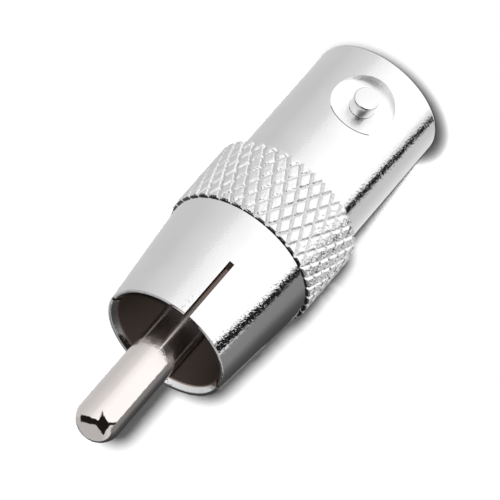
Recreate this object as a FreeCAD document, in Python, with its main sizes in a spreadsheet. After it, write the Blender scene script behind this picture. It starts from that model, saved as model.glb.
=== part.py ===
"""Phono plug to bayonet coax socket adapter, nickel-plated, as a parametric FreeCAD document.

The adapter stands on the rim of its bayonet barrel. The origin is the centre of that rim, +Z runs up the
common axis to the tip of the phono pin, and +X runs through the first bayonet stud. Lengths are in mm.
"""
import FreeCAD, Part
import math
import os
import Sketcher

SIZES = [
    # The bayonet barrel
    ("barrel_dia", 9.65, "outside of the barrel"),
    ("barrel_reach", 11.3, "barrel from its rim to the grip"),
    ("rim_round", 0.2, "rounding of the rim's outer edge"),
    ("mouth_dia", 8.1, "bore that takes the plug's spring sleeve"),
    ("mouth_depth", 8.4, "from the rim to the step that stops the plug"),
    ("lead_in", 0.25, "lead-in at the mouth, on the radius"),
    ("lead_length", 0.5, "lead-in at the mouth, along the axis"),
    ("web", 1.0, "thickness of the web that holds the insulator"),
    ("chamber_dia", 7.2, "chamber behind the web"),
    # The bayonet studs
    ("stud_dia", 1.8, "stud"),
    ("stud_span", 11.0, "over the ends of both studs"),
    ("stud_height", 4.0, "from the rim to the studs' axis"),
    ("stud_break", 0.12, "broken edge at the end of a stud"),
    ("stud_recess", 0.05, "a stud's inner end behind the bore's wall"),
    ("spot_dia", 4.54, "round spot face under a stud"),
    ("spot_flats", 8.5, "across the floors of the two spot faces"),
    # The knurled grip
    ("grip_dia", 11.3, "over the crests of the knurl"),
    ("grip_length", 5.53, "length of the grip"),
    ("knurl_depth", 0.25, "depth of the knurl's grooves"),
    ("knurl_starts", 36, "grooves of each hand round the grip"),
    ("knurl_angle", 28, "groove to axis, in degrees"),
    ("knurl_land", 0.5, "flat crest as a share of the pitch"),
    ("counterbore_dia", 9.4, "counterbore that takes the sleeve's spigot"),
    # The slotted phono sleeve
    ("sleeve_length", 8.67, "from the grip to the sleeve's mouth"),
    ("sleeve_root_dia", 10.86, "outside of the sleeve at the grip"),
    ("sleeve_mouth_dia", 9.36, "outside of the sleeve at its mouth"),
    ("sleeve_bore", 8.27, "bore of the sleeve"),
    ("sleeve_lead", 0.3, "lead-in chamfer at the sleeve's mouth"),
    ("spigot_length", 2.4, "spigot in the grip"),
    ("slot_width", 0.38, "saw slot in the sleeve"),
    ("slot_length", 5.0, "saw slot from the mouth"),
    ("slot_count", 4, "saw slots round the sleeve"),
    ("slot_turn", -4.2, "from the first stud to the first slot, in degrees"),
    # The centre contact
    ("pin_dia", 3.2, "phono pin"),
    ("pin_reach", 9.1, "pin beyond the sleeve's mouth"),
    ("pin_tip_flat", 0.2, "flat left at the rounded tip, across"),
    ("shank_dia", 3.8, "shank of the pin in its insulator"),
    ("collar_dia", 4.8, "collar that keeps the pin in place"),
    ("collar", 0.8, "thickness of that collar"),
    ("contact_dia", 2.15, "outside of the centre socket"),
    ("contact_bore", 1.37, "bore of the centre socket"),
    ("contact_depth", 5.2, "depth of that bore"),
    ("contact_lead", 0.15, "lead-in chamfer of that bore"),
    ("contact_recess", 0.1, "centre socket behind the insulator's face"),
    ("slit_width", 0.22, "slits of the centre socket"),
    ("slit_length", 3.4, "length of those slits"),
    ("slit_count", 4, "slits round the centre socket"),
    ("stem_dia", 1.5, "stem pressed into the pin"),
    ("stem_length", 2.4, "length of that stem"),
    ("stem_room", 0.3, "room left beyond the stem's end"),
    # The insulators
    ("nose_dia", 4.8, "nose of the bayonet insulator"),
    ("nose_length", 5.0, "nose beyond the step in the barrel"),
    ("nose_break", 0.2, "broken edge at the end of the nose"),
    ("flange", 1.0, "flange clamped by the spigot"),
    ("face_depth", 8.2, "from the sleeve's mouth to the phono insulator"),
    # Clearances
    ("press_gap", 0.02, "pressed pieces, on the radius"),
    ("spring_gap", 0.1, "round the centre socket's springs, on the radius"),
]

doc = FreeCAD.newDocument("Adapter")
sheet = doc.addObject("Spreadsheet::Sheet", "Sizes")

# Heights above the rim, as formulas of the sheet
STEP = "Sizes.mouth_depth"
WEB_TOP = f"({STEP} + Sizes.web)"
NOSE_END = f"({STEP} - Sizes.nose_length)"
GRIP_TOP = "(Sizes.barrel_reach + Sizes.grip_length)"
SPIGOT_END = f"({GRIP_TOP} - Sizes.spigot_length)"
FLANGE_END = f"({SPIGOT_END} - Sizes.flange)"
COLLAR_END = f"({FLANGE_END} - Sizes.collar)"
SLEEVE_MOUTH = f"({GRIP_TOP} + Sizes.sleeve_length)"
INSULATOR_FACE = f"({SLEEVE_MOUTH} - Sizes.face_depth)"
PIN_TIP = f"({SLEEVE_MOUTH} + Sizes.pin_reach)"
CONTACT_END = f"({NOSE_END} + Sizes.contact_recess)"
SPRING_ROOT = f"({CONTACT_END} + Sizes.slit_length)"
AXIS = "0"


def fill_sheet():
    """Write each size to the sheet with its meaning and its alias."""
    for row, (alias, value, meaning) in enumerate(SIZES, start=1):
        sheet.set(f"A{row}", meaning)
        sheet.set(f"B{row}", str(value))
        sheet.setAlias(f"B{row}", alias)
    doc.recompute()


def size(alias):
    """Read one size back, for a shape that is computed."""
    return float(sheet.get(alias))


def evaluate(formula):
    """Work out a formula of the sheet."""
    value = sheet.evalExpression(formula)
    return float(getattr(value, "Value", value))


def half(alias, gap=None, sign="+"):
    """Give the formula of a radius, with a clearance added or taken off."""
    return f"Sizes.{alias} / 2 {sign} Sizes.{gap}" if gap else f"Sizes.{alias} / 2"


def new_body(label):
    body = doc.addObject("PartDesign::Body", label)
    body.Label = label
    return body


def origin_part(body, role):
    """Find one of a body's origin planes or axes."""
    return next(item for item in body.Origin.OriginFeatures if item.Role == role)


def new_sketch(body, name, role):
    sketch = body.newObject("Sketcher::SketchObject", name)
    sketch.AttachmentSupport = [(origin_part(body, role), "")]
    sketch.MapMode = "FlatFace"
    return sketch


def hold(sketch, line, kind, formula, axis):
    """Tie one coordinate of a line's first point to its formula, or put the point on the sketch's axis."""
    if formula == AXIS:
        sketch.addConstraint(Sketcher.Constraint("PointOnObject", line, 1, axis))
        return
    index = sketch.addConstraint(Sketcher.Constraint(kind, -1, 1, line, 1, evaluate(formula)))
    sketch.setExpression(f"Constraints[{index}]", formula)


def draw_outline(sketch, points):
    """Draw a closed outline whose corners are given as pairs of formulas."""
    corners = [FreeCAD.Vector(evaluate(across), evaluate(up), 0) for across, up in points]
    for index, corner in enumerate(corners):
        sketch.addGeometry(Part.LineSegment(corner, corners[(index + 1) % len(corners)]), False)
    for index, (across, up) in enumerate(points):
        before = (index - 1) % len(points)
        sketch.addConstraint(Sketcher.Constraint("Coincident", before, 2, index, 1))
        hold(sketch, index, "DistanceX", across, -2)
        hold(sketch, index, "DistanceY", up, -1)


def draw_circle(sketch, diameter, height):
    """Draw a circle on the sketch's upright axis."""
    centre = FreeCAD.Vector(0, evaluate(height), 0)
    sketch.addGeometry(Part.Circle(centre, FreeCAD.Vector(0, 0, 1), evaluate(diameter) / 2), False)
    sketch.addConstraint(Sketcher.Constraint("PointOnObject", 0, 3, -2))
    index = sketch.addConstraint(Sketcher.Constraint("DistanceY", -1, 1, 0, 3, centre.y))
    sketch.setExpression(f"Constraints[{index}]", height)
    index = sketch.addConstraint(Sketcher.Constraint("Diameter", 0, evaluate(diameter)))
    sketch.setExpression(f"Constraints[{index}]", diameter)


def turn(body, points):
    """Turn an outline of (radius, height) corners round the axis."""
    sketch = new_sketch(body, body.Name + "_outline", "XZ_Plane")
    draw_outline(sketch, points)
    turned = body.newObject("PartDesign::Revolution", body.Name + "_turned")
    turned.Profile = sketch
    turned.ReferenceAxis = (sketch, ["V_Axis"])
    turned.Angle = 360
    doc.recompute()
    return turned


def cut_outwards(body, sketch, near, far):
    """Cut a sketch of the YZ plane away from the axis, between two distances from it."""
    sketch.setExpression("AttachmentOffset.Base.z", near)
    pocket = body.newObject("PartDesign::Pocket", sketch.Name + "_cut")
    pocket.Profile = sketch
    pocket.Reversed = True
    pocket.setExpression("Length", f"{far} - ({near})")
    doc.recompute()
    return pocket


def cut_slots(body, width, low, high, reach, count):
    """Saw slots of one width from the axis outwards, evenly round the axis."""
    sketch = new_sketch(body, body.Name + "_slot", "YZ_Plane")
    draw_outline(sketch, [
        (f"-{width} / 2", low),
        (f"{width} / 2", low),
        (f"{width} / 2", high),
        (f"-{width} / 2", high),
    ])
    slot = cut_outwards(body, sketch, AXIS, reach)
    return repeat_round_axis(body, [slot], count)


def repeat_round_axis(body, features, count):
    pattern = body.newObject("PartDesign::PolarPattern", body.Name + "_pattern")
    pattern.Originals = features
    pattern.Axis = (origin_part(body, "Z_Axis"), [""])
    pattern.Angle = 360
    pattern.setExpression("Occurrences", count)
    body.Tip = pattern
    doc.recompute()
    return pattern


def round_edge(feature, radius):
    """Name the circular edges of a feature with one radius, for a fillet or chamfer."""
    names = []
    for index, edge in enumerate(feature.Shape.Edges, start=1):
        if isinstance(edge.Curve, Part.Circle) and abs(edge.Curve.Radius - radius) < 1e-6:
            names.append((edge, f"Edge{index}"))
    return names


def break_edge(body, feature, kind, diameter, height, amount):
    """Round or chamfer the turned edge that has one diameter and lies at one height."""
    names = [name for edge, name in round_edge(feature, evaluate(diameter) / 2)
             if abs(edge.Curve.Center.z - evaluate(height)) < 1e-6]
    broken = body.newObject(f"PartDesign::{kind}", feature.Name + "_edge")
    broken.Base = (feature, names)
    broken.setExpression("Radius" if kind == "Fillet" else "Size", amount)
    doc.recompute()
    return broken


def turned_blank():
    """The barrel and the core of the grip, bored for all that it holds, with its two stud seats."""
    body = new_body("turned_blank")
    turned = turn(body, [
        (half("mouth_dia", "lead_in"), AXIS),
        (half("barrel_dia"), AXIS),
        (half("barrel_dia"), GRIP_TOP),
        (half("counterbore_dia"), GRIP_TOP),
        (half("counterbore_dia"), FLANGE_END),
        (half("chamber_dia"), FLANGE_END),
        (half("chamber_dia"), WEB_TOP),
        (half("nose_dia", "press_gap"), WEB_TOP),
        (half("nose_dia", "press_gap"), STEP),
        (half("mouth_dia"), STEP),
        (half("mouth_dia"), "Sizes.lead_length"),
    ])
    break_edge(body, turned, "Fillet", "Sizes.barrel_dia", AXIS, "Sizes.rim_round")

    spot = new_sketch(body, "spot_face", "YZ_Plane")
    draw_circle(spot, "Sizes.spot_dia", "Sizes.stud_height")
    spot_face = cut_outwards(body, spot, half("spot_flats"), half("barrel_dia"))

    hole = new_sketch(body, "stud_hole", "YZ_Plane")
    draw_circle(hole, "(Sizes.stud_dia + 2 * Sizes.press_gap)", "Sizes.stud_height")
    stud_hole = cut_outwards(body, hole, AXIS, half("barrel_dia"))
    repeat_round_axis(body, [spot_face, stud_hole], "2")
    return body


def knurl_point(out, across, angle, height):
    """Place a point of one diamond, whose middle lies at an angle round the axis."""
    return FreeCAD.Vector(
        out * math.cos(angle) - across * math.sin(angle),
        out * math.sin(angle) + across * math.cos(angle),
        height,
    )


def flat_face(points):
    return Part.Face(Part.makePolygon(points + points[:1]))


def knurl_shape():
    """The knurled ring of the grip: rows of flat-topped diamonds left by grooves of both hands.

    Each diamond reaches half a step to each side and half a length up and down at the grooves' bottom.
    The rows end on the diamonds' middles, so that the ends of the grip show the grooves as a zigzag.
    """
    crest = size("grip_dia") / 2
    valley = crest - size("knurl_depth")
    starts = round(size("knurl_starts"))
    length = size("grip_length")
    step = 2 * math.pi / starts
    diamond = crest * step / math.tan(math.radians(size("knurl_angle")))
    rows = max(1, round(length / diamond))
    rise = length / rows / 2

    side_out = valley * math.cos(step / 2)
    side_across = valley * math.sin(step / 2)
    land_across = side_across * size("knurl_land")
    # The top's upper corner lies in the plane of the flank through the other three corners
    slope_out = rise * (side_across - land_across)
    slope_up = (valley - side_out) * (land_across - side_across) + side_across * (crest - side_out)
    land_rise = rise - slope_out * (crest - valley) / slope_up

    faces = []
    ends = ([], [])
    for row in range(2 * rows + 1):
        height = row * rise
        for column in range(starts):
            angle = (column + (row % 2) / 2) * step
            sides = [knurl_point(side_out, turn * side_across, angle, height) for turn in (-1, 1)]
            lands = [knurl_point(crest, turn * land_across, angle, height) for turn in (-1, 1)]
            ways = [way for way in (-1, 1) if 0 <= row + way <= 2 * rows]
            tips = [knurl_point(crest, 0, angle, height + way * land_rise) for way in ways]
            for way, tip in zip(ways, tips):
                valley_tip = knurl_point(valley, 0, angle, height + way * rise)
                faces.append(flat_face([sides[0], lands[0], tip, valley_tip]))
                faces.append(flat_face([sides[1], lands[1], tip, valley_tip]))
            faces.append(flat_face([lands[0], tips[0], lands[1]] + tips[1:]))
            if len(ways) == 1:
                ends[row > 0].extend([sides[0], lands[0], lands[1]])
    faces.extend(flat_face(end) for end in ends)
    solid = Part.Solid(Part.Shell(faces))
    if solid.Volume < 0:
        solid.reverse()
    core = Part.makeCylinder(size("barrel_dia") / 2, length)
    return solid.cut(core)


def knurled_barrel():
    """The turned barrel with its knurled grip, one piece of brass."""
    ring = doc.addObject("Part::Feature", "knurl")
    ring.Shape = knurl_shape()
    ring.setExpression("Placement.Base.z", "Sizes.barrel_reach")
    barrel = doc.addObject("Part::Fuse", "knurled_barrel")
    barrel.Base = turned_blank()
    barrel.Tool = ring
    barrel.Label = "knurled_barrel"
    return barrel


def bayonet_stud(label, side):
    """A stud pressed into its hole in the barrel, with a broken edge at its outer end."""
    body = new_body(label)
    circle = new_sketch(body, label + "_circle", "YZ_Plane")
    draw_circle(circle, "Sizes.stud_dia", "Sizes.stud_height")
    inner = half("mouth_dia", "stud_recess")
    circle.setExpression("AttachmentOffset.Base.z", inner)
    pad = body.newObject("PartDesign::Pad", label + "_pad")
    pad.Profile = circle
    pad.setExpression("Length", f"Sizes.stud_span / 2 - ({inner})")
    doc.recompute()
    outer = [name for edge, name in round_edge(pad, size("stud_dia") / 2)
             if edge.Curve.Center.x > size("barrel_dia") / 2]
    chamfer = body.newObject("PartDesign::Chamfer", label + "_edge")
    chamfer.Base = (pad, outer)
    chamfer.setExpression("Size", "Sizes.stud_break")
    body.Placement.Rotation = FreeCAD.Rotation(FreeCAD.Vector(0, 0, 1), side)
    return body


def phono_sleeve():
    """The conical outer contact: four saw slots make it springy, and its spigot is pressed into the grip."""
    body = new_body("phono_sleeve")
    turn(body, [
        (half("sleeve_bore"), SPIGOT_END),
        (half("counterbore_dia", "press_gap", "-"), SPIGOT_END),
        (half("counterbore_dia", "press_gap", "-"), GRIP_TOP),
        (half("sleeve_root_dia"), GRIP_TOP),
        (half("sleeve_mouth_dia"), SLEEVE_MOUTH),
        (half("sleeve_bore", "sleeve_lead"), SLEEVE_MOUTH),
        (half("sleeve_bore"), f"{SLEEVE_MOUTH} - Sizes.sleeve_lead"),
    ])
    cut_slots(body, "Sizes.slot_width", f"{SLEEVE_MOUTH} - Sizes.slot_length", SLEEVE_MOUTH,
              half("sleeve_root_dia"), "Sizes.slot_count")
    body.Placement.Rotation = FreeCAD.Rotation(FreeCAD.Vector(0, 0, 1), size("slot_turn"))
    return body


def phono_pin():
    """The plug's solid pin, round at the tip, with its shank, the collar that holds it and the stem's bore."""
    body = new_body("phono_pin")
    bore_end = f"{COLLAR_END} + Sizes.stem_length + Sizes.stem_room"
    turned = turn(body, [
        (AXIS, bore_end),
        (half("stem_dia", "press_gap"), bore_end),
        (half("stem_dia", "press_gap"), COLLAR_END),
        (half("collar_dia"), COLLAR_END),
        (half("collar_dia"), FLANGE_END),
        (half("shank_dia"), FLANGE_END),
        (half("shank_dia"), INSULATOR_FACE),
        (half("pin_dia"), INSULATOR_FACE),
        (half("pin_dia"), PIN_TIP),
        (AXIS, PIN_TIP),
    ])
    break_edge(body, turned, "Fillet", "Sizes.pin_dia", PIN_TIP, "(Sizes.pin_dia - Sizes.pin_tip_flat) / 2")
    return body


def socket_contact():
    """The slit centre socket of the bayonet side, with its stem in the pin."""
    body = new_body("socket_contact")
    turn(body, [
        (half("contact_bore", "contact_lead"), CONTACT_END),
        (half("contact_dia"), CONTACT_END),
        (half("contact_dia"), COLLAR_END),
        (half("stem_dia"), COLLAR_END),
        (half("stem_dia"), f"{COLLAR_END} + Sizes.stem_length"),
        (AXIS, f"{COLLAR_END} + Sizes.stem_length"),
        (AXIS, f"{CONTACT_END} + Sizes.contact_depth"),
        (half("contact_bore"), f"{CONTACT_END} + Sizes.contact_depth"),
        (half("contact_bore"), f"{CONTACT_END} + Sizes.contact_lead"),
    ])
    cut_slots(body, "Sizes.slit_width", CONTACT_END, SPRING_ROOT, half("contact_dia"), "Sizes.slit_count")
    return body


def phono_insulator():
    """The black insulator at the bottom of the sleeve, its flange clamped by the spigot."""
    body = new_body("phono_insulator")
    turn(body, [
        (half("shank_dia", "press_gap"), FLANGE_END),
        (half("counterbore_dia", "press_gap", "-"), FLANGE_END),
        (half("counterbore_dia", "press_gap", "-"), SPIGOT_END),
        (half("sleeve_bore", "press_gap", "-"), SPIGOT_END),
        (half("sleeve_bore", "press_gap", "-"), INSULATOR_FACE),
        (half("shank_dia", "press_gap"), INSULATOR_FACE),
    ])
    return body


def bayonet_insulator():
    """The white insulator: its nose stands in the mouth and its back holds the pin's collar."""
    body = new_body("bayonet_insulator")
    turn(body, [
        (half("contact_dia", "spring_gap"), NOSE_END),
        (f"{half('nose_dia')} - Sizes.nose_break", NOSE_END),
        (half("nose_dia"), f"{NOSE_END} + Sizes.nose_break"),
        (half("nose_dia"), WEB_TOP),
        (half("chamber_dia", "press_gap", "-"), WEB_TOP),
        (half("chamber_dia", "press_gap", "-"), FLANGE_END),
        (half("collar_dia", "press_gap"), FLANGE_END),
        (half("collar_dia", "press_gap"), COLLAR_END),
        (half("contact_dia", "press_gap"), COLLAR_END),
        (half("contact_dia", "press_gap"), SPRING_ROOT),
        (half("contact_dia", "spring_gap"), SPRING_ROOT),
    ])
    return body


def check_and_write(pieces):
    """Refuse a failed object or a bad shape, then write each piece to its own file."""
    doc.recompute()
    for item in doc.Objects:
        if {"Invalid", "Error"} & set(item.State):
            raise RuntimeError(f"{item.Label} failed: {item.State}")
    os.makedirs("parts", exist_ok=True)
    for piece in pieces:
        if piece.Shape.isNull() or not piece.Shape.isValid():
            raise RuntimeError(f"{piece.Label} has no sound shape")
        piece.Shape.exportStep(f"parts/{piece.Label}.step")
        print(f"{piece.Label}: {piece.Shape.Volume:.3f} mm3, {len(piece.Shape.Solids)} solid")


fill_sheet()
check_and_write([
    knurled_barrel(),
    bayonet_stud("bayonet_stud_1", 0),
    bayonet_stud("bayonet_stud_2", 180),
    phono_sleeve(),
    phono_pin(),
    socket_contact(),
    phono_insulator(),
    bayonet_insulator(),
])
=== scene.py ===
"""Dresses a nickel-plated phono plug to bayonet coax socket adapter and sets it in a small white studio."""
import math

import bmesh
import bpy
from bpy.props import FloatProperty, FloatVectorProperty, IntProperty, PointerProperty
from mathutils import Matrix, Vector


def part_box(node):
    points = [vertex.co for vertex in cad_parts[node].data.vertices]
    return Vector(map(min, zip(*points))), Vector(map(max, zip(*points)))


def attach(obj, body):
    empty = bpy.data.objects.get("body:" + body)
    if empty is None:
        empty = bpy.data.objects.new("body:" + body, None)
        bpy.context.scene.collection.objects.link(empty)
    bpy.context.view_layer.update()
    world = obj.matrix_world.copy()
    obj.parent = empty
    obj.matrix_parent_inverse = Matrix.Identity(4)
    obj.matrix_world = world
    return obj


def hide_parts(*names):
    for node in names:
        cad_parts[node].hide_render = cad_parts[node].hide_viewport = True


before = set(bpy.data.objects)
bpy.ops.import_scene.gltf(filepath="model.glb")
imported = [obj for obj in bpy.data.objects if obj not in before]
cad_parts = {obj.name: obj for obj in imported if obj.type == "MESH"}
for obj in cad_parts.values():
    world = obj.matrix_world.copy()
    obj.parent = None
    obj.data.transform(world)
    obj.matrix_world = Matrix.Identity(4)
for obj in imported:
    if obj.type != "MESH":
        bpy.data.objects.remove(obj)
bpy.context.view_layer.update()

bl_info = {
    "name": "Coax Adapter",
    "version": (1, 0, 0),
    "blender": (4, 5, 0),
    "location": "3D Viewport > Sidebar > Adapter",
    "description": "Builds a phono to bayonet coax adapter with its finishes and studio",
    "category": "Add Mesh",
}

MM = 0.001
FULL_TURN = 2 * math.pi
SHARP = math.radians(35)  # Edges past this angle stay sharp
ON_AXIS = 1e-7  # A smaller radius is a single point on the axis
ON_EDGE = 1e-5  # Slack for a face that is found by its place
BODY = "root"


def low(node):
    """Height at which a piece of the frame begins."""
    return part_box(node)[0].z


def high(node):
    """Height at which a piece of the frame ends."""
    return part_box(node)[1].z


def reach(node):
    """Largest distance of a round piece of the frame from the axis."""
    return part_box(node)[1].x


GRIP_TOP = high("knurled_barrel")
SPIGOT_END = low("phono_sleeve")
SLEEVE_MOUTH = high("phono_sleeve")
FLANGE_END = low("phono_insulator")
INSULATOR_FACE = high("phono_insulator")
COLLAR_END = low("phono_pin")
PIN_TIP = high("phono_pin")
CONTACT_END = low("socket_contact")
STEM_END = high("socket_contact")
NOSE_END = low("bayonet_insulator")
STUD_LOW, STUD_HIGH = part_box("bayonet_stud_1")
STUD_HEIGHT = (STUD_LOW.z + STUD_HIGH.z) / 2
STUD_RADIUS = (STUD_HIGH.y - STUD_LOW.y) / 2


def length(name, default, description, lowest=0.0):
    """A length property, with its default in millimetres."""
    return FloatProperty(name=name, description=description, default=default * MM, min=lowest,
                         unit="LENGTH", subtype="DISTANCE", precision=5)


def colour(name, default, description):
    """A colour property."""
    return FloatVectorProperty(name=name, description=description, default=default, min=0.0, max=1.0,
                               size=3, subtype="COLOR")


def share(name, default, description):
    """A property between 0 and 1."""
    return FloatProperty(name=name, description=description, default=default, min=0.0, max=1.0,
                         subtype="FACTOR", precision=4)


def number(name, default, description):
    """A property for any number from 0 up."""
    return FloatProperty(name=name, description=description, default=default, min=0.0)


def angle(name, default, description):
    """An angle property, with its default in degrees."""
    return FloatProperty(name=name, description=description, default=math.radians(default),
                         unit="ROTATION", subtype="ANGLE")


class BarrelSizes(bpy.types.PropertyGroup):
    diameter: length("Barrel", 9.65, "Outside of the bayonet barrel")
    reach: length("Reach", 11.3, "Barrel from its rim to the grip")
    mouth: length("Mouth", 8.1, "Bore that takes the plug's spring sleeve")
    mouth_depth: length("Mouth depth", 8.4, "From the rim to the step")
    lead_in: length("Lead-in", 0.25, "Widening of the bore at the rim, on the radius")
    lead_length: length("Lead-in length", 0.5, "Widening of the bore at the rim, along the axis")
    web_top: length("Web top", 9.4, "Top of the web that holds the insulator")
    counterbore: length("Counterbore", 9.4, "Counterbore that takes the sleeve's spigot")
    rim_round: length("Rim rounding", 0.2, "Rounding of the rim's outer edge")
    edge: length("Edge break", 0.05, "Rounding of the other turned edges")
    spot: length("Spot face", 4.54, "Diameter of the round flat under a stud")
    spot_flats: length("Spot flats", 8.5, "Across the two flats")
    # Painted shadow: a dark line along the upper lip of each spot face
    lip_shadow_line: length("Lip line", 0.06, "Width of the dark line at the lip of a spot face")
    stud_gap: length("Stud gap", 0.02, "Gap round a stud, on the radius")
    stud_break: length("Stud break", 0.12, "Rounding of a stud's outer end")


class KnurlSizes(bpy.types.PropertyGroup):
    diameter: length("Grip", 2 * reach("knurled_barrel") / MM, "Over the crests of the knurl")
    depth: length("Depth", 0.25, "Depth of the deeper grooves")
    starts: IntProperty(name="Starts", description="Grooves of each hand", default=36, min=8, max=80)
    rows: IntProperty(name="Rows", description="Diamonds along the grip", default=3, min=1, max=12)
    land: share("Crest", 0.66, "Flat crest as a share of the pitch")
    light_hand: share("Lighter hand", 0.5, "Depth of the lighter hand's grooves against the deeper ones")
    end_break: length("End break", 0.08, "Chamfer at the knurl's front end")
    steps: IntProperty(name="Steps", description="Mesh columns to a pitch", default=16, min=4, max=24)


class SleeveSizes(bpy.types.PropertyGroup):
    mouth: length("Mouth", 9.36, "Outside of the sleeve at its mouth")
    bore: length("Bore", 8.27, "Bore of the sleeve")
    lead: length("Lead-in", 0.3, "Chamfer at the mouth of the bore, on the radius")
    lead_length: length("Lead-in length", 0.42, "That chamfer along the axis")
    slot_width: length("Slot width", 0.38, "Saw slots")
    slot_length: length("Slot length", 5.0, "Saw slots from the mouth")
    slots: IntProperty(name="Slots", description="Saw slots round the sleeve", default=4, min=2, max=8)
    slot_turn: angle("Slot turn", -4.2, "First slot from the first stud")
    edge: length("Edge break", 0.04, "Rounding of the turned edges")
    slot_edge: length("Slot edge", 0.02, "Rounding of the sawn edges")


class ContactSizes(bpy.types.PropertyGroup):
    pin: length("Pin", 3.2, "Phono pin")
    nose: length("Nose", 1.5, "Rounding of the pin's tip")
    shank: length("Shank", 3.8, "Shank of the pin in its insulator")
    collar_top: length("Collar top", FLANGE_END / MM, "Top of the pin's collar")
    bore: length("Socket bore", 1.37, "Bore of the centre socket")
    bore_depth: length("Bore depth", 5.2, "Depth of that bore")
    slit_width: length("Slit width", 0.22, "Slits of the centre socket")
    slit_length: length("Slit length", 3.4, "Length of those slits")
    slits: IntProperty(name="Slits", description="Slits round the centre socket", default=4, min=2, max=6)
    lead: length("Lead-in", 0.15, "Chamfer of that bore")
    stem: length("Stem", 1.5, "Stem pressed into the pin")
    stem_room: length("Stem room", 0.3, "Room beyond the stem's end")
    spring_gap: length("Spring gap", 0.1, "Room round the socket's springs")
    press_gap: length("Press gap", 0.02, "Gap of the pressed pieces, on the radius")
    nose_dia: length("Insulator nose", 4.8, "Nose of the white insulator")
    nose_break: length("Nose break", 0.2, "Rounding of the end of that nose")
    edge: length("Edge break", 0.04, "Rounding of the small edges")


class Finishes(bpy.types.PropertyGroup):
    nickel: colour("Nickel", (0.82, 0.815, 0.82), "Bright nickel plate")
    # Painted shade: a darker, browner plate inside the bores and on the saw slots' walls
    shaded_bore_nickel: colour("Bore nickel", (0.41, 0.33, 0.285), "Thin plate in the bores, where the brass shows")
    pin_nickel: colour("Pin nickel", (0.81, 0.76, 0.738), "Warmer nickel plate of the pin")
    # Painted shade: the pin darkens below the sleeve's mouth
    pin_root_shade: colour("Pin root", (0.2, 0.145, 0.13), "Dull plate of the pin inside the sleeve")
    gold: colour("Gold flash", (0.83, 0.62, 0.28), "Thin gold on the centre socket")
    black: colour("Black plastic", (0.055, 0.04, 0.034), "Insulator in the sleeve")
    white: colour("White plastic", (0.85, 0.85, 0.82), "Insulator in the barrel")
    milled_nickel: colour("Milled nickel", (0.94, 0.935, 0.94), "Plate on the milled spot faces")
    # Painted shade: a dark tint on the knurl's front ring by the sleeve and on the upper lips of the spot
    # faces
    edge_shade: colour("Sheared edge", (0.12, 0.11, 0.105), "Dark burr where the knurl ends at the sleeve")
    polish: share("Roughness", 0.05, "Roughness of the plate where it is cleanest")
    milled: share("Milled roughness", 0.28, "Roughness of the milled spot faces")
    rolled: share("Rolled roughness", 0.1, "Roughness of the rolled knurl")
    # Share of the plate in the bores and at the pin's root that turns matt, with the painted shade
    matt_shade_share: share("Tarnish", 0.09, "Share of dull film on the plate in the bores")
    pin_matt_shade_share: share("Pin tarnish", 0.9, "Share of dull film at the pin's root")


class StudioSettings(bpy.types.PropertyGroup):
    azimuth: angle("Camera azimuth", 84.0, "Round the axis from the front, anticlockwise")
    elevation: angle("Camera elevation", 30.98, "Above the floor")
    roll: angle("Camera roll", -139.02, "Round the line of sight")
    distance: length("Camera distance", 389.84, "From the aim to the camera")
    aim_height: length("Aim height", 15.784, "Height of the point that the camera looks at")
    aim_side: length("Aim side", -0.173, "Sideways place of that point", lowest=-1.0)
    lens: number("Lens", 417.57, "Focal length for a 36 mm sensor")
    paper_size: length("Paper size", 4000, "Width of the paper, and twice its reach forwards and up")
    backdrop_gap: length("Backdrop", 28.0, "From the object's axis back to the upright part of the paper")
    sweep: length("Sweep", 6.0, "Radius of the paper's bend from the floor to the backdrop")
    paper: colour("Paper", (0.98, 0.98, 0.98), "White paper of the floor and backdrop")
    paper_lift: share("Paper lift", 0.06, "Light that the paper adds towards the camera")
    paper_tilt: number("Paper tilt", 0.3, "How far the paper's shading leans from the lamp to the zenith")
    contact_reach: length("Contact reach", 1.1, "How far round its foot the object darkens the paper")
    contact: number("Contact", 2.6, "Strength of the shade round the foot")
    key: number("Key", 3.3, "Strength of the soft key lamp")
    key_turn: angle("Key turn", 2.35, "Key lamp from the camera, round the axis")
    key_lift: angle("Key lift", -1.3, "Key lamp from the camera, upwards")
    key_size: angle("Key size", 2.4, "Angle that the key lamp fills")
    card_out: length("Card", 15.0, "Radius of the dark card behind the plug")
    card_low: length("Card's low edge", 10.0, "Height at which the card begins")
    card_high: length("Card's high edge", 36.0, "Height at which the card ends")
    card_first: angle("Card's first end", -77.0, "Turn at which the card begins")
    card_last: angle("Card's last end", -205.0, "Turn at which the card ends")
    fill: number("Fill", 0.05, "Light of the room on matt surfaces")
    mirrored: number("Mirrored room", 1.28, "Brightness of the room in the metal")


def polar(radius, turn, height):
    """Point at a radius, a turn and a height."""
    return Vector((radius * math.cos(turn), radius * math.sin(turn), height))


def add_object(name, data):
    """Add an object to the scene."""
    item = bpy.data.objects.new(name, data)
    bpy.context.collection.objects.link(item)
    return item


def softened(corners, steps=4):
    """Points of a closed outline of (radius, height, rounding) corners, each rounded by an arc."""
    points = []
    for index, (radius, height, rounding) in enumerate(corners):
        corner = Vector((radius, height))
        if rounding == 0:
            points.append(corner)
            continue
        before = (Vector(corners[index - 1][:2]) - corner).normalized()
        after = (Vector(corners[(index + 1) % len(corners)][:2]) - corner).normalized()
        half_angle = before.angle(after) / 2
        centre = corner + (before + after).normalized() * rounding / math.sin(half_angle)
        first, last = ((corner + way * rounding / math.tan(half_angle) - centre).normalized()
                       for way in (before, after))
        points.extend(centre + first.slerp(last, step / steps) * rounding for step in range(steps + 1))
    return points


def finish_mesh(name, mesh):
    """Turn a bmesh into an object with smooth faces."""
    data = bpy.data.meshes.new(name)
    mesh.to_mesh(data)
    mesh.free()
    data.shade_smooth()
    return add_object(name, data)


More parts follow.
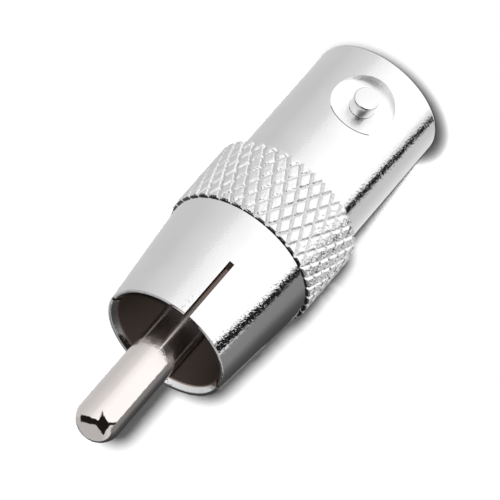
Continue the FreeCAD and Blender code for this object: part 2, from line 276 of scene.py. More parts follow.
def finish_piece(name, mesh):
    """Turn a closed bmesh into an object with smooth faces and sharp edges."""
    bmesh.ops.recalc_face_normals(mesh, faces=mesh.faces)
    piece = finish_mesh(name, mesh)
    piece.data.set_sharp_from_angle(angle=SHARP)
    return piece


def sheet(name, pairs):
    """A sheet that runs through pairs of points."""
    mesh = bmesh.new()
    rows = [[mesh.verts.new(point) for point in pair] for pair in pairs]
    for row, following in zip(rows, rows[1:]):
        mesh.faces.new([row[0], row[1], following[1], following[0]])
    return finish_mesh(name, mesh)


def join_rings(mesh, first, second, skip=()):
    """Fill the band between two rings, where either may be a single point on the axis."""
    count = max(len(first), len(second))
    if count == 1:
        return
    for column in range(count):
        if column in skip:
            continue
        following = (column + 1) % count
        corners = [first[column % len(first)], first[following % len(first)],
                   second[following % len(second)], second[column % len(second)]]
        mesh.faces.new(list(dict.fromkeys(corners)))


def turned(outline, columns, radius_at=None):
    """Turn a closed outline round the axis. radius_at(radius, turn, height) may change each radius."""
    mesh = bmesh.new()
    rings = []
    for radius, height in outline:
        if radius < ON_AXIS:
            rings.append([mesh.verts.new((0, 0, height))])
            continue
        turns = [FULL_TURN * column / columns for column in range(columns)]
        radii = [radius_at(radius, turn, height) if radius_at else radius for turn in turns]
        rings.append([mesh.verts.new(polar(out, turn, height)) for out, turn in zip(radii, turns)])
    for ring, following in zip(rings, rings[1:] + rings[:1]):
        join_rings(mesh, ring, following)
    return mesh


def crossed(outline, height):
    """Add the points at which a closed outline crosses a height."""
    points = []
    for point, following in zip(outline, outline[1:] + outline[:1]):
        points.append(point)
        if (point[1] - height) * (following[1] - height) < 0:
            part = (height - point[1]) / (following[1] - point[1])
            points.append(point.lerp(following, part))
    return points


def slotted(outline, root, upwards, width, count, columns, first_turn=0.0):
    """Turn a closed outline and saw slots through its wall, from the root's height to its open end."""
    way = 1 if upwards else -1
    outline = crossed(outline, root)
    sector = FULL_TURN / count
    mesh = bmesh.new()

    def ring_turns(radius):
        side = math.asin(width / 2 / radius)
        turns = []
        for index in range(count):
            middle = first_turn + index * sector
            turns.append(middle - side)
            span = sector - 2 * side
            turns.extend(middle + side + span * step / columns for step in range(columns))
        return turns

    rings = []
    for radius, height in outline:
        if radius < ON_AXIS:
            rings.append([mesh.verts.new((0, 0, height))])
        else:
            rings.append([mesh.verts.new(polar(radius, turn, height)) for turn in ring_turns(radius)])

    in_slot = [way * (height - root) > -ON_AXIS for _, height in outline]
    slot_columns = {index * (columns + 1) for index in range(count)}
    following = list(range(1, len(outline))) + [0]
    for index, after in enumerate(following):
        open_band = in_slot[index] and in_slot[after]
        join_rings(mesh, rings[index], rings[after], slot_columns if open_band else ())

    # The two walls and the end of each slot
    start = next(index for index, after in enumerate(following) if in_slot[after] and not in_slot[index])
    order = [(start + 1 + step) % len(outline) for step in range(len(outline))]
    wall = [index for index in order if in_slot[index]]
    for column in sorted(slot_columns):
        for side in (column, column + 1):
            mesh.faces.new([rings[index][side] for index in wall])
        first, last = rings[wall[0]], rings[wall[-1]]
        mesh.faces.new([first[column], first[column + 1], last[column + 1], last[column]])
    return mesh


def cut_away(piece, cutter):
    """Take a cutter out of a piece and delete the cutter."""
    modifier = piece.modifiers.new("cut", "BOOLEAN")
    modifier.operation = "DIFFERENCE"
    modifier.solver = "MANIFOLD"
    modifier.object = cutter
    apply_modifiers(piece)
    bpy.data.meshes.remove(cutter.data)


def apply_modifiers(piece):
    """Put what the modifiers make into the piece's mesh."""
    bpy.context.view_layer.update()
    evaluated = piece.evaluated_get(bpy.context.evaluated_depsgraph_get())
    previous, piece.data = piece.data, bpy.data.meshes.new_from_object(evaluated)
    piece.modifiers.clear()
    piece.data.name = piece.name
    bpy.data.meshes.remove(previous)


def cross_cylinder(radius, near, far, height, side, columns):
    """A cylinder along X, from one distance to another on one side of the axis."""
    mesh = bmesh.new()
    turns = [FULL_TURN * column / columns for column in range(columns)]
    rings = [[mesh.verts.new((side * out, radius * math.cos(turn), height + radius * math.sin(turn)))
              for turn in turns] for out in (near, far)]
    join_rings(mesh, *rings)
    for ring in rings:
        mesh.faces.new(ring)
    return finish_piece("cutter", mesh)


def soften_edges(piece, width):
    """Round the sharp edges that are left, as a deburring would."""
    modifier = piece.modifiers.new("deburr", "BEVEL")
    modifier.width = width
    modifier.segments = 2
    modifier.limit_method = "ANGLE"
    modifier.angle_limit = math.radians(50)
    modifier.harden_normals = True
    apply_modifiers(piece)


def dress(piece, material, slot_name, *nodes):
    """Give a piece its finish and tie it to the frame's body and nodes."""
    piece.data.materials.clear()
    piece.data.materials.append(material)
    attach(piece, BODY)
    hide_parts(*nodes)


class Tree:
    """A short way to add and link shader nodes."""

    def __init__(self, tree):
        self.tree = tree
        tree.nodes.clear()

    def add(self, kind, settings=None, **inputs):
        """Add a node. An input is given by its name, or by an underscore and its number."""
        node = self.tree.nodes.new(kind)
        for name, value in (settings or {}).items():
            setattr(node, name, value)
        for name, value in inputs.items():
            socket = node.inputs[int(name[1:]) if name[0] == "_" else name.replace("_", " ")]
            if isinstance(value, bpy.types.NodeSocket):
                self.tree.links.new(value, socket)
            else:
                socket.default_value = value
        return node

    def sums(self, kind, operation, values):
        """Add a node that reckons with some values, and return its outputs."""
        inputs = {f"_{index}": value for index, value in enumerate(values)}
        return self.add(kind, {"operation": operation}, **inputs).outputs

    def maths(self, operation, *values):
        """A number reckoned from numbers."""
        return self.sums("ShaderNodeMath", operation, values)[0]

    def vector(self, operation, *values):
        """A vector reckoned from vectors."""
        return self.sums("ShaderNodeVectorMath", operation, values)["Vector"]

    def scalar(self, operation, *values):
        """A number reckoned from vectors."""
        return self.sums("ShaderNodeVectorMath", operation, values)["Value"]

    def join(self, **parts):
        """A vector of the parts X, Y and Z."""
        return self.add("ShaderNodeCombineXYZ", **parts).outputs[0]

    def parts(self, vector):
        return self.add("ShaderNodeSeparateXYZ", Vector=vector).outputs

    def place(self):
        return self.add("ShaderNodeTexCoord").outputs["Object"]

    def noise(self, place, scale, detail):
        return self.add("ShaderNodeTexNoise", Vector=place, Scale=scale, Detail=detail).outputs["Fac"]

    def spread(self, value, start, end, low_end=0.0, high_end=1.0, kind="LINEAR"):
        """Map what lies between a start and an end to a new range."""
        node = self.add("ShaderNodeMapRange", {"interpolation_type": kind}, Value=value,
                        _1=start, _2=end, _3=low_end, _4=high_end)
        return node.outputs["Result"]

    def ramp(self, value, stops):
        """A ramp of (place, tone) stops, where a tone is a grey or a colour."""
        node = self.add("ShaderNodeValToRGB", Fac=value)
        band = node.color_ramp
        while len(band.elements) < len(stops):
            band.elements.new(1.0)
        for element, (place, tone) in zip(band.elements, stops):
            element.position = place
            element.color = (*tone, 1.0) if isinstance(tone, tuple) else (tone, tone, tone, 1.0)
        return node.outputs["Color"]

    def mix(self, part, first, second):
        """A share of the way from one colour to another."""
        return self.add("ShaderNodeMix", {"data_type": "RGBA"}, _0=part, _6=first, _7=second).outputs[2]


def new_material(name):
    """A material and its empty tree."""
    material = bpy.data.materials.new(name)
    material.use_nodes = True
    return material, Tree(material.node_tree)


def turning_coordinates(tree, place):
    """Coordinates that run with the lathe's marks, slow round the axis, and the distance from the axis."""
    around, along = 3.0, 26000.0
    parts = tree.parts(place)
    flat = tree.join(X=parts["X"], Y=parts["Y"])
    out = tree.scalar("LENGTH", flat)
    ring = tree.vector("NORMALIZE", flat)
    turns = tree.add("ShaderNodeVectorMath", {"operation": "SCALE"}, _0=ring, Scale=around).outputs["Vector"]
    lift = tree.join(Z=tree.maths("MULTIPLY", tree.maths("ADD", parts["Z"], out), along))
    return tree.vector("ADD", turns, lift), out


def lip_shadow_line(tree, place, middle, radius, width):
    """Where the painted shadow line at the upper lip of the two spot faces runs."""
    from_middle = tree.vector("MULTIPLY_ADD", place, (0, 1, 1), (0, 0, -middle))
    away = tree.scalar("LENGTH", from_middle)
    line = tree.maths("COMPARE", away, radius + width / 2, width / 2)
    upper = tree.maths("GREATER_THAN", tree.parts(from_middle)["Z"], radius * 0.72)
    return tree.maths("MULTIPLY", line, upper)


def plated(name, tint, polish, dull=None, bore=0.0, fade=None, lip=None, grain=4e-6):
    """Bright plate over turned brass: turning marks, plating grain, pits and a little haze.

    A painted shade of (tint, film, haze) lies inside the bore's radius, or grows between the two heights
    of the fade. A painted shadow line follows the upper lip of a spot face, given by its height, radius,
    width and tint.
    """
    material, tree = new_material(name)
    place = tree.place()
    turning, out = turning_coordinates(tree, place)
    lines = tree.noise(turning, 1.0, 3.0)
    pits = tree.spread(tree.noise(place, 5200.0, 2.0), 0.46, 0.72)
    haze = tree.noise(place, 420.0, 5.0)
    shade = tree.ramp(haze, [(0.3, tuple(0.96 * part for part in tint)), (0.65, tuple(tint))])
    dullness = tree.spread(haze, 0.35, 0.7, polish * 0.8, polish * 1.7)
    depth, metal = grain, 1.0
    if dull:
        painted_shade_tint, film, dull_haze = dull
        if bore:
            hidden = tree.maths("LESS_THAN", out, bore)
        else:
            hidden = tree.spread(tree.parts(place)["Z"], *fade)
        # The painted shade comes early in a fade, and the film late
        shade_share, filmed = tree.maths("POWER", hidden, 1.5), tree.maths("POWER", hidden, 6.0)
        shade = tree.mix(shade_share, shade, (*painted_shade_tint, 1.0))
        depth = tree.maths("MULTIPLY_ADD", hidden, -grain, grain)
        dullness = tree.maths("MULTIPLY_ADD", hidden, dull_haze, dullness)
        metal = tree.maths("MULTIPLY_ADD", filmed, -film, 1.0)
    # Painted shadow: a dark line along the spot face's upper lip
    if lip:
        *line, line_tint = lip
        shade = tree.mix(lip_shadow_line(tree, place, *line), shade, (*line_tint, 1.0))

    marks = tree.add("ShaderNodeBump", Strength=1.0, Distance=0.12e-6, Height=lines).outputs["Normal"]
    bump = tree.add("ShaderNodeBump", Strength=1.0, Distance=depth, Height=pits, Normal=marks)
    shader = tree.add("ShaderNodeBsdfPrincipled", Base_Color=shade, Metallic=metal,
                      Roughness=dullness, Normal=bump.outputs["Normal"])
    tree.add("ShaderNodeOutputMaterial", Surface=shader.outputs["BSDF"])
    return material


def moulded(name, tint, roughness, gloss):
    """Moulded plastic with a fine grain and slightly uneven shine."""
    material, tree = new_material(name)
    place = tree.place()
    grain = tree.noise(place, 6500.0, 3.0)
    cloud = tree.noise(place, 700.0, 2.0)
    shade = tree.ramp(cloud, [(0.0, tuple(0.9 * part for part in tint)), (1.0, tuple(tint))])
    rough = tree.spread(cloud, 0.0, 1.0, roughness * 0.85, roughness * 1.15)
    bump = tree.add("ShaderNodeBump", Strength=0.4, Distance=4e-6, Height=grain)
    shader = tree.add("ShaderNodeBsdfPrincipled", Base_Color=shade, Roughness=rough,
                      Normal=bump.outputs["Normal"], Specular_IOR_Level=gloss)
    tree.add("ShaderNodeOutputMaterial", Surface=shader.outputs["BSDF"])
    return material


def nickel(context, bore=0.0):
    """The adapter's bright plate, with painted shade inside a bore if one is given."""
    finish = context.scene.adapter_finishes
    name = "nickel_plate_bored" if bore else "nickel_plate"
    dull = (finish.shaded_bore_nickel, finish.matt_shade_share, 3 * finish.rolled) if bore else None
    return bpy.data.materials.get(name) or plated(name, finish.nickel, finish.polish, dull, bore)


class ADAPTER_OT_knurled_barrel(bpy.types.Operator):
    """Add the turned barrel with its diamond-knurled grip and the two spot faces"""
    bl_idname = "adapter.knurled_barrel"
    bl_label = "Knurled barrel"

    def execute(self, context):
        sizes, knurl = context.scene.adapter_barrel, context.scene.adapter_knurl
        outline = self.outline(sizes, knurl, context.scene.adapter_contacts)
        mesh = turned(outline, knurl.starts * knurl.steps, self.knurled(sizes, knurl))
        barrel = finish_piece("knurled_barrel_dressed", mesh)
        self.cut_spot_faces(barrel, sizes)
        if max(abs(vertex.co.x) for vertex in barrel.data.vertices) > knurl.diameter / 2 + ON_EDGE:
            raise RuntimeError("The spot faces were not cut cleanly")
        barrel.data.set_sharp_from_angle(angle=SHARP)

        finish = context.scene.adapter_finishes
        # Each spot face gets a painted shadow line along its upper lip
        lip = (STUD_HEIGHT, sizes.spot / 2, sizes.lip_shadow_line, finish.edge_shade)
        turned_plate = plated("barrel_plate", finish.nickel, finish.polish, lip=lip)
        dress(barrel, turned_plate, "barrel_nickel", "knurled_barrel")
        barrel.data.materials.append(plated("milled_plate", finish.milled_nickel, finish.milled))
        barrel.data.materials.append(plated("knurled_plate", finish.nickel, finish.rolled, grain=20e-6))
        # The knurl's front ring by the sleeve gets a dark plate, painted shade in the corner
        barrel.data.materials.append(plated("front_shade_plate", finish.edge_shade, finish.milled))
        self.share_finishes(barrel.data, sizes)
        return {"FINISHED"}

    @staticmethod
    def outline(sizes, knurl, contacts):
        """The barrel's section, with the rows of points that the knurl needs along the grip."""
        crest, wall, bore, edge = knurl.diameter / 2, sizes.diameter / 2, sizes.mouth / 2, sizes.edge
        chamber = reach("bayonet_insulator") + contacts.press_gap
        nose = contacts.nose_dia / 2 + contacts.press_gap
        counterbore = sizes.counterbore / 2
        below = softened([
            (chamber, FLANGE_END, 0),
            (chamber, sizes.web_top, 0),
            (nose, sizes.web_top, 0),
            (nose, sizes.mouth_depth, 0),
            (bore, sizes.mouth_depth, edge),
            (bore, sizes.lead_length, edge * 2),
            (bore + sizes.lead_in, 0, edge),
            (wall, 0, sizes.rim_round),
            (wall, sizes.reach, edge),
        ])
        grip_length = GRIP_TOP - sizes.reach
        rows = knurl.rows * 2 * knurl.steps
        heights = [sizes.reach + grip_length * row / rows for row in range(rows)]
        chamfer = GRIP_TOP - knurl.end_break
        grip = [(crest, height) for height in heights if height < chamfer - ON_EDGE]
        front = [(crest, chamfer), (crest - knurl.end_break, GRIP_TOP), (counterbore, GRIP_TOP),
                 (counterbore, FLANGE_END)]
        return below + [Vector(point) for point in grip + front]

    @staticmethod
    def knurled(sizes, knurl):
        """The function that sinks the knurl's grooves into the grip."""
        crest = knurl.diameter / 2
        valley = crest - knurl.depth
        grip_length = GRIP_TOP - sizes.reach

        def groove(turns):
            """How far into a groove a place lies, from 0 on the crest to 1 at the bottom."""
            closeness = abs(2 * ((turns + 0.5) % 1) - 1)
            return max(0.0, (closeness - knurl.land) / (1 - knurl.land))

        def knurled_radius(radius, turn, height):
            if radius < valley:
                return radius
            around = turn / FULL_TURN * knurl.starts
            along = (height - sizes.reach) / grip_length * knurl.rows
            cut = max(groove(around + along), groove(around - along) * knurl.light_hand)
            return min(radius, crest - knurl.depth * cut)

        return knurled_radius

    @staticmethod
    def cut_spot_faces(barrel, sizes):
        """Mill the flats under the studs and drill the studs' holes."""
        for side in (1, -1):
            for radius, near, columns in ((sizes.spot / 2, sizes.spot_flats / 2, 96),
                                          (STUD_RADIUS + sizes.stud_gap, sizes.mouth / 4, 64)):
                cut_away(barrel, cross_cylinder(radius, near, sizes.diameter, STUD_HEIGHT, side, columns))

    @staticmethod
    def share_finishes(data, sizes):
        """Give the milled spot faces and the knurl their own finishes, and the knurl's front edge a dark
        plate of painted shade.
        """
        milled, rolled, shaded_front = 1, 2, 3
        floor, spot = sizes.spot_flats / 2, sizes.spot / 2
        mesh = bmesh.new()
        mesh.from_mesh(data)
        for face in mesh.faces:
            middle = face.calc_center_median()
            from_stud = math.hypot(middle.y, middle.z - STUD_HEIGHT)
            on_floor = abs(abs(middle.x) - floor) < ON_EDGE
            on_wall = abs(from_stud - spot) < ON_EDGE and abs(middle.x) > floor
            if from_stud < spot + ON_EDGE and (on_floor or on_wall):
                face.material_index = milled
            elif middle.z > GRIP_TOP - ON_EDGE:
                face.material_index = shaded_front
            elif middle.z > sizes.reach and math.hypot(middle.x, middle.y) > sizes.diameter / 2:
                face.material_index = rolled
        for item in mesh.edges:
            kinds = {face.material_index for face in item.link_faces}
            if len(kinds) == 2 and milled in kinds:
                item.smooth = False
        mesh.to_mesh(data)
        mesh.free()


class ADAPTER_OT_bayonet_studs(bpy.types.Operator):
    """Add the two studs that are pressed into the barrel"""
    bl_idname = "adapter.bayonet_studs"
    bl_label = "Bayonet studs"

    def execute(self, context):
        sizes = context.scene.adapter_barrel
        outline = softened([
            (0, STUD_LOW.x, 0),
            (STUD_RADIUS, STUD_LOW.x, sizes.stud_gap),
            (STUD_RADIUS, STUD_HIGH.x, sizes.stud_break),
            (0, STUD_HIGH.x, 0),
        ])
        for index, side in enumerate((1, -1), start=1):
            stud = finish_piece(f"bayonet_stud_{index}_dressed", turned(outline, columns=96))
            lay_down = Matrix.Rotation(side * math.pi / 2, 4, "Y")
            stud.data.transform(Matrix.Translation((0, 0, STUD_HEIGHT)) @ lay_down)
            dress(stud, nickel(context), "barrel_nickel", f"bayonet_stud_{index}")
        return {"FINISHED"}


class ADAPTER_OT_phono_sleeve(bpy.types.Operator):
    """Add the conical sleeve with its four saw slots"""
    bl_idname = "adapter.phono_sleeve"
    bl_label = "Phono sleeve"

    def execute(self, context):
        sizes = context.scene.adapter_sleeve
        bore, edge = sizes.bore / 2, sizes.edge
        spigot = context.scene.adapter_barrel.counterbore / 2 - context.scene.adapter_contacts.press_gap
        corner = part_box("phono_sleeve")[1]
        root_radius = max(corner.x, corner.y)
        outline = softened([
            (bore, SPIGOT_END, 0),
            (spigot, SPIGOT_END, 0),
            (spigot, GRIP_TOP, 0),
            (root_radius - edge, GRIP_TOP, 0),
            (root_radius, GRIP_TOP + edge * 1.5, 0),
            (sizes.mouth / 2, SLEEVE_MOUTH, edge),
            (bore + sizes.lead, SLEEVE_MOUTH, edge),
            (bore, SLEEVE_MOUTH - sizes.lead_length, edge * 2),
        ])
        root = SLEEVE_MOUTH - sizes.slot_length
        mesh = slotted(outline, root, True, sizes.slot_width, sizes.slots, columns=72,
                       first_turn=sizes.slot_turn)
        sleeve = finish_piece("phono_sleeve_dressed", mesh)
        soften_edges(sleeve, sizes.slot_edge)
        # Painted shade: a darker plate inside the bore and on the slots' walls and ends
        dress(sleeve, nickel(context, bore + sizes.lead * 0.2), "sleeve_nickel", "phono_sleeve")
        finish = context.scene.adapter_finishes
        sleeve.data.materials.append(plated("slot_shade_plate", finish.shaded_bore_nickel, finish.milled))
        self.finish_slots(sleeve.data, root)
        return {"FINISHED"}

    @staticmethod
    def finish_slots(data, root):
        """Give the sawn walls and the end of each slot their darker plate of painted shade."""
        for face in data.polygons:
            outwards = Vector((face.center.x, face.center.y, 0)).normalized()
            on_wall = abs(face.normal.z) < 0.3 and abs(face.normal.dot(outwards)) < 0.3
            on_end = abs(face.center.z - root) < ON_EDGE and face.normal.z > 0.9
            if on_wall or on_end:
                face.material_index = 1


class ADAPTER_OT_phono_pin(bpy.types.Operator):
    """Add the round-nosed centre pin with its shank and collar"""
    bl_idname = "adapter.phono_pin"
    bl_label = "Phono pin"

    def execute(self, context):
        sizes = context.scene.adapter_contacts
        stem_hole = sizes.stem / 2 + sizes.press_gap
        collar = reach("phono_pin")
        outline = softened([
            (0, STEM_END + sizes.stem_room, 0),
            (stem_hole, STEM_END + sizes.stem_room, 0),
            (stem_hole, COLLAR_END, 0),
            (collar, COLLAR_END, sizes.edge),
            (collar, sizes.collar_top, sizes.edge),
            (sizes.shank / 2, sizes.collar_top, 0),
            (sizes.shank / 2, INSULATOR_FACE, sizes.edge),
            (sizes.pin / 2, INSULATOR_FACE, 0),
            (sizes.pin / 2, PIN_TIP, sizes.nose),
            (0, PIN_TIP, 0),
        ], steps=16)
        pin = finish_piece("phono_pin_dressed", turned(outline, columns=160))
        finish = context.scene.adapter_finishes
        # Painted shade: the pin darkens and turns matt below the sleeve's mouth
        dull = (finish.pin_root_shade, finish.pin_matt_shade_share, 3.5 * finish.rolled)
        fade = (SLEEVE_MOUTH + sizes.pin * 0.9, SLEEVE_MOUTH - sizes.pin * 1.2)
        plate = plated("pin_plate", finish.pin_nickel, finish.polish * 1.3, dull, fade=fade, grain=2.5e-6)
        dress(pin, plate, "pin_nickel", "phono_pin")
        return {"FINISHED"}


class ADAPTER_OT_socket_contact(bpy.types.Operator):
    """Add the slit centre socket with its stem"""
    bl_idname = "adapter.socket_contact"
    bl_label = "Centre socket"

    def execute(self, context):
        sizes = context.scene.adapter_contacts
        bore, wall = sizes.bore / 2, reach("socket_contact")
        outline = softened([
            (bore + sizes.lead, CONTACT_END, sizes.edge),
            (wall, CONTACT_END, sizes.edge),
            (wall, COLLAR_END, 0),
            (sizes.stem / 2, COLLAR_END, 0),
            (sizes.stem / 2, STEM_END, sizes.edge),
            (0, STEM_END, 0),
            (0, CONTACT_END + sizes.bore_depth, 0),
            (bore, CONTACT_END + sizes.bore_depth, 0),
            (bore, CONTACT_END + sizes.lead, sizes.edge),
        ])
        root = CONTACT_END + sizes.slit_length
        mesh = slotted(outline, root, False, sizes.slit_width, sizes.slits, columns=28)
        contact = finish_piece("socket_contact_dressed", mesh)
        finish = context.scene.adapter_finishes
        gold = plated("gold_plate", finish.gold, finish.polish * 1.4)
        dress(contact, gold, "gold_flash", "socket_contact")
        return {"FINISHED"}


class ADAPTER_OT_insulators(bpy.types.Operator):
    """Add the black insulator in the sleeve and the white one in the barrel"""
    bl_idname = "adapter.insulators"
    bl_label = "Insulators"

    def execute(self, context):
        sizes = context.scene.adapter_contacts
        finish = context.scene.adapter_finishes
        outer_break, inner_break = 0.1 * MM, 0.05 * MM
        sleeve_bore = context.scene.adapter_sleeve.bore / 2 - sizes.press_gap
        flange = reach("phono_insulator")
        shank = sizes.shank / 2 + sizes.press_gap
        black = finish_piece("phono_insulator_dressed", turned(softened([
            (shank, FLANGE_END, 0),
            (flange, FLANGE_END, 0),
            (flange, SPIGOT_END, 0),
            (sleeve_bore, SPIGOT_END, 0),
            (sleeve_bore, INSULATOR_FACE, outer_break),
            (shank, INSULATOR_FACE, inner_break),
        ]), columns=128))
        plastic = moulded("black_insulator", finish.black, roughness=0.5, gloss=0.4)
        dress(black, plastic, "black_plastic", "phono_insulator")

        collar = reach("phono_pin") + sizes.press_gap
        contact = reach("socket_contact")
        spring_root = CONTACT_END + sizes.slit_length
        web_top = context.scene.adapter_barrel.web_top
        nose, wall = sizes.nose_dia / 2, reach("bayonet_insulator")
        white = finish_piece("bayonet_insulator_dressed", turned(softened([
            (contact + sizes.spring_gap, NOSE_END, inner_break),
            (nose, NOSE_END, sizes.nose_break),
            (nose, web_top, 0),
            (wall, web_top, 0),
            (wall, FLANGE_END, 0),
            (collar, FLANGE_END, 0),
            (collar, COLLAR_END, 0),
            (contact + sizes.press_gap, COLLAR_END, 0),
            (contact + sizes.press_gap, spring_root, 0),
            (contact + sizes.spring_gap, spring_root, 0),
        ]), columns=128))
        plastic = moulded("white_insulator", finish.white, roughness=0.35, gloss=0.5)
        dress(white, plastic, "white_plastic", "bayonet_insulator")
        return {"FINISHED"}


class ADAPTER_OT_studio(bpy.types.Operator):
    """Add the pale floor and backdrop, the soft light, the mirrored room and the camera"""
    bl_idname = "adapter.studio"
    bl_label = "Studio"

    def execute(self, context):
        studio = context.scene.adapter_studio
        sight = self.direction(studio.azimuth, studio.elevation)
        level = Vector((0, 0, 1)).cross(sight).normalized()
        lift = sight.cross(level)
        right = level * math.cos(studio.roll) + lift * math.sin(studio.roll)
        self.add_camera(context, studio, sight, right)
        self.add_paper(studio)
        self.add_key(studio)
        self.add_room(context, studio, sight, right, level)
        self.add_dark_card(studio)
        context.scene.view_settings.view_transform = "Standard"
        return {"FINISHED"}

    @staticmethod
    def direction(azimuth, elevation):
        """Direction from the object to something at an azimuth and elevation."""
        return polar(math.cos(elevation), azimuth - math.pi / 2, math.sin(elevation))

    @staticmethod
    def add_camera(context, studio, sight, right):
        place = Vector((0, studio.aim_side, studio.aim_height)) + sight * studio.distance
        data = bpy.data.cameras.new("camera")
        data.lens = studio.lens
        data.clip_start = studio.distance / 10
        data.clip_end = studio.distance * 20
        camera = add_object("camera", data)
        turn = Matrix((right, sight.cross(right), sight)).transposed().to_4x4()
        camera.matrix_world = Matrix.Translation(place) @ turn
        context.scene.camera = camera

    def add_paper(self, studio):
        """White paper that lies under the rim and bends up behind the object, clear from its back."""
        bend, back, out, steps = studio.sweep, -studio.backdrop_gap, studio.paper_size / 2, 24
        turns = [math.pi / 2 * step / steps for step in range(steps + 1)]
        arc = [(back + bend * (1 - math.sin(turn)), bend * (1 - math.cos(turn))) for turn in turns]
        profile = [(out, 0), *arc, (back, out)]
        paper = sheet("paper", [[(ahead, side, height) for side in (-out, out)] for ahead, height in profile])
        paper.visible_glossy = paper.visible_shadow = paper.visible_diffuse = False
        paper.data.materials.append(self.paper(studio))

    def paper(self, studio):
        """White paper that faces the key lamp all over, with painted shade where something stands on it."""
        material, tree = new_material("white_paper")
        fibres = tree.noise(tree.place(), 900.0, 2.0)
        facing = (self.towards_key(studio) + Vector((0, 0, studio.paper_tilt))).normalized()
        towards = tree.join(X=facing.x, Y=facing.y, Z=facing.z)
        bump = tree.add("ShaderNodeBump", Strength=0.2, Distance=5e-6, Height=fibres, Normal=towards)

        # Painted shade: only what stands on the +Y side of a place darkens it
        open_side = tree.join(X=0.2, Y=0.75, Z=0.62)
        shut = tree.add("ShaderNodeAmbientOcclusion", {"samples": 12}, Distance=studio.contact_reach,
                        Normal=open_side)
        shade = tree.maths("POWER", shut.outputs["AO"], studio.contact)
        grey = tree.join(X=shade, Y=shade, Z=shade)
        tinted = tree.vector("MULTIPLY", grey, studio.paper)
        diffuse = tree.add("ShaderNodeBsdfDiffuse", Color=tinted, Normal=bump.outputs["Normal"]).outputs[0]

        seen = tree.add("ShaderNodeLightPath").outputs["Is Camera Ray"]
        lift = tree.maths("MULTIPLY", seen, studio.paper_lift)
        glow = tree.add("ShaderNodeEmission", Color=grey, Strength=lift).outputs[0]
        both = tree.add("ShaderNodeAddShader", _0=diffuse, _1=glow).outputs[0]
        clear = tree.add("ShaderNodeBsdfTransparent").outputs["BSDF"]
        back = tree.add("ShaderNodeNewGeometry").outputs["Backfacing"]
        mixed = tree.add("ShaderNodeMixShader", _0=back, _1=both, _2=clear).outputs["Shader"]
        tree.add("ShaderNodeOutputMaterial", Surface=mixed)
        return material

    def towards_key(self, studio):
        return self.direction(studio.azimuth + studio.key_turn, studio.elevation + studio.key_lift)

    def add_key(self, studio):
        """One soft lamp close beside the camera."""
        data = bpy.data.lights.new("key", "SUN")
        data.energy = studio.key
        data.angle = studio.key_size
        lamp = add_object("key", data)
        lamp.rotation_mode = "QUATERNION"
        lamp.rotation_quaternion = self.towards_key(studio).to_track_quat("Z", "Y")
        lamp.visible_glossy = False

    @staticmethod
    def add_dark_card(studio):
        """A dark curved card behind the plug at its right, seen only in the metal."""
        steps = 48
        turns = [studio.card_first + (studio.card_last - studio.card_first) * step / steps
                 for step in range(steps + 1)]
        heights = (studio.card_low, studio.card_high)
        pairs = [[polar(studio.card_out, turn, height) for height in heights] for turn in turns]
        card = sheet("dark_card", pairs)
        card.visible_camera = card.visible_diffuse = card.visible_shadow = False

        material, tree = new_material("dark_card")
        parts = tree.parts(tree.place())
        bearing = tree.maths("ARCTAN2", tree.maths("MULTIPLY", parts["Y"], -1.0), parts["X"])
        shade = tree.ramp(tree.maths("DIVIDE", bearing, math.pi), [
            (0.430, 0.27), (0.545, 0.25), (0.590, 0.17), (0.645, 0.10), (0.755, 0.06), (1.0, 0.06),
        ])
        glow = tree.add("ShaderNodeEmission", Color=shade, Strength=1.0)
        tree.add("ShaderNodeOutputMaterial", Surface=glow.outputs[0])
        card.data.materials.append(material)

    @staticmethod
    def add_room(context, studio, sight, right, level):
        """The room that the metal mirrors, drawn by the slope that mirrors each direction to the camera.

        It is a bright tent: grey at the camera's left, with a dark gap round the camera whose arms run
        level to both sides, and darker paper above and behind.
        """
        world = bpy.data.worlds.new("studio_room")
        context.scene.world = world
        world.use_nodes = True
        tree = Tree(world.node_tree)
        direction = tree.add("ShaderNodeTexCoord").outputs["Generated"]
        slope = tree.vector("NORMALIZE", tree.vector("ADD", direction, sight))

        def along(axis):
            return tree.scalar("DOT_PRODUCT", slope, axis)

        def positive(value):
            return tree.maths("MAXIMUM", value, 0.0)

        def smooth(value, start, end):
            return tree.spread(value, start, end, kind="SMOOTHSTEP")

        across, up, rise = along(right), along(sight.cross(right)), along(Vector((0, 0, 1)))
        side = tree.maths("MULTIPLY_ADD", along(level), -0.5, 0.5)
        walls = tree.ramp(side, [
            (0.000, 0.53), (0.120, 0.54), (0.175, 0.585), (0.255, 0.645), (0.305, 0.70),
            (0.330, 0.78), (0.360, 0.85), (0.410, 0.91), (0.500, 1.0),
            (0.800, 1.0), (0.860, 0.50), (0.930, 0.53), (1.0, 0.68),
        ])
        ceiling = tree.ramp(across, [(0.0, 0.46), (0.3, 0.62), (0.7, 0.62), (0.85, 0.08)])

        # The arms rise and widen to the left of the star, and narrow to its right
        star_across, star_up = 0.11, -0.2
        left_end, right_bend = -0.78, 0.66
        left_of = positive(tree.maths("SUBTRACT", star_across, across))
        right_of = positive(tree.maths("SUBTRACT", across, right_bend))
        arm_up = tree.maths("MULTIPLY_ADD", right_of, 0.2, star_up)
        arm_up = tree.maths("MULTIPLY_ADD", left_of, 0.22, arm_up)
        arm_width = tree.maths("MINIMUM", tree.maths("MULTIPLY_ADD", left_of, 0.2, 0.05), 0.15)
        arm_width = tree.maths("MULTIPLY_ADD", right_of, -0.12, arm_width)
        from_arm = tree.maths("SUBTRACT", up, arm_up)
        outside_arm = tree.maths("SUBTRACT", tree.maths("ABSOLUTE", from_arm), arm_width)
        beyond_arm = tree.maths("SUBTRACT", left_end, across)
        off_arm = smooth(tree.maths("MAXIMUM", outside_arm, beyond_arm), 0.0, 0.02)

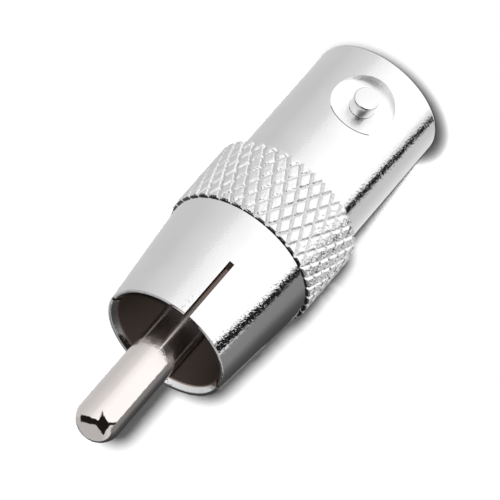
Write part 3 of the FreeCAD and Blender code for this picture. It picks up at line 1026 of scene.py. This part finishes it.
        # The star has hollow sides above and straight ones below
        star_width, star_top, star_foot, hollow = 0.33, 0.58, -0.49, 0.75
        wide = tree.maths("ABSOLUTE", tree.maths("SUBTRACT", across, star_across))
        wide = tree.maths("DIVIDE", wide, star_width)
        from_star = tree.maths("SUBTRACT", up, star_up)
        above = positive(tree.maths("DIVIDE", from_star, star_top))
        below = positive(tree.maths("DIVIDE", from_star, star_foot))
        upper = tree.maths("ADD", tree.maths("POWER", wide, hollow), tree.maths("POWER", above, hollow))
        lower = tree.maths("ADD", wide, below)
        off_star = smooth(tree.maths("MAXIMUM", upper, lower), 0.97, 1.03)

        dark, white = (0.012, 0.01, 0.01, 1.0), (1.0, 1.0, 1.0, 1.0)
        over = tree.maths("MULTIPLY", smooth(rise, 0.18, 0.3), smooth(from_arm, 0.02, -0.02))
        lit = tree.mix(tree.maths("MULTIPLY", off_arm, off_star), dark, tree.mix(over, walls, ceiling))
        mirrored, matt, seen = (
            tree.add("ShaderNodeBackground", Color=tint, Strength=strength).outputs[0]
            for tint, strength in ((lit, studio.mirrored), (white, studio.fill), (white, 1.0))
        )
        path = tree.add("ShaderNodeLightPath").outputs
        other = tree.add("ShaderNodeMixShader", _0=path["Is Glossy Ray"], _1=matt, _2=mirrored).outputs[0]
        both = tree.add("ShaderNodeMixShader", _0=path["Is Camera Ray"], _1=other, _2=seen).outputs[0]
        tree.add("ShaderNodeOutputWorld", Surface=both)


class ADAPTER_PT_panel(bpy.types.Panel):
    """Lists the adapter's pieces and their sizes"""
    bl_idname = "ADAPTER_PT_panel"
    bl_label = "Coax adapter"
    bl_space_type = "VIEW_3D"
    bl_region_type = "UI"
    bl_category = "Adapter"

    def draw(self, context):
        for operator in OPERATORS:
            self.layout.operator(operator.bl_idname)
        for name in SETTINGS:
            group = getattr(context.scene, name)
            box = self.layout.box()
            box.label(text=name.replace("adapter_", "").capitalize())
            for item in type(group).__annotations__:
                box.prop(group, item)


OPERATORS = (
    ADAPTER_OT_knurled_barrel,
    ADAPTER_OT_bayonet_studs,
    ADAPTER_OT_phono_sleeve,
    ADAPTER_OT_phono_pin,
    ADAPTER_OT_socket_contact,
    ADAPTER_OT_insulators,
    ADAPTER_OT_studio,
)

SETTINGS = {
    "adapter_barrel": BarrelSizes,
    "adapter_knurl": KnurlSizes,
    "adapter_sleeve": SleeveSizes,
    "adapter_contacts": ContactSizes,
    "adapter_finishes": Finishes,
    "adapter_studio": StudioSettings,
}


def register():
    for group in SETTINGS.values():
        bpy.utils.register_class(group)
    for item in (*OPERATORS, ADAPTER_PT_panel):
        bpy.utils.register_class(item)
    for name, group in SETTINGS.items():
        setattr(bpy.types.Scene, name, PointerProperty(type=group))


def unregister():
    for name in SETTINGS:
        delattr(bpy.types.Scene, name)
    for item in (ADAPTER_PT_panel, *reversed(OPERATORS)):
        bpy.utils.unregister_class(item)
    for group in SETTINGS.values():
        bpy.utils.unregister_class(group)


def main():
    register()
    bpy.ops.adapter.knurled_barrel()
    bpy.ops.adapter.bayonet_studs()
    bpy.ops.adapter.phono_sleeve()
    bpy.ops.adapter.phono_pin()
    bpy.ops.adapter.socket_contact()
    bpy.ops.adapter.insulators()
    bpy.ops.adapter.studio()


if __name__ == "__main__":
    main()
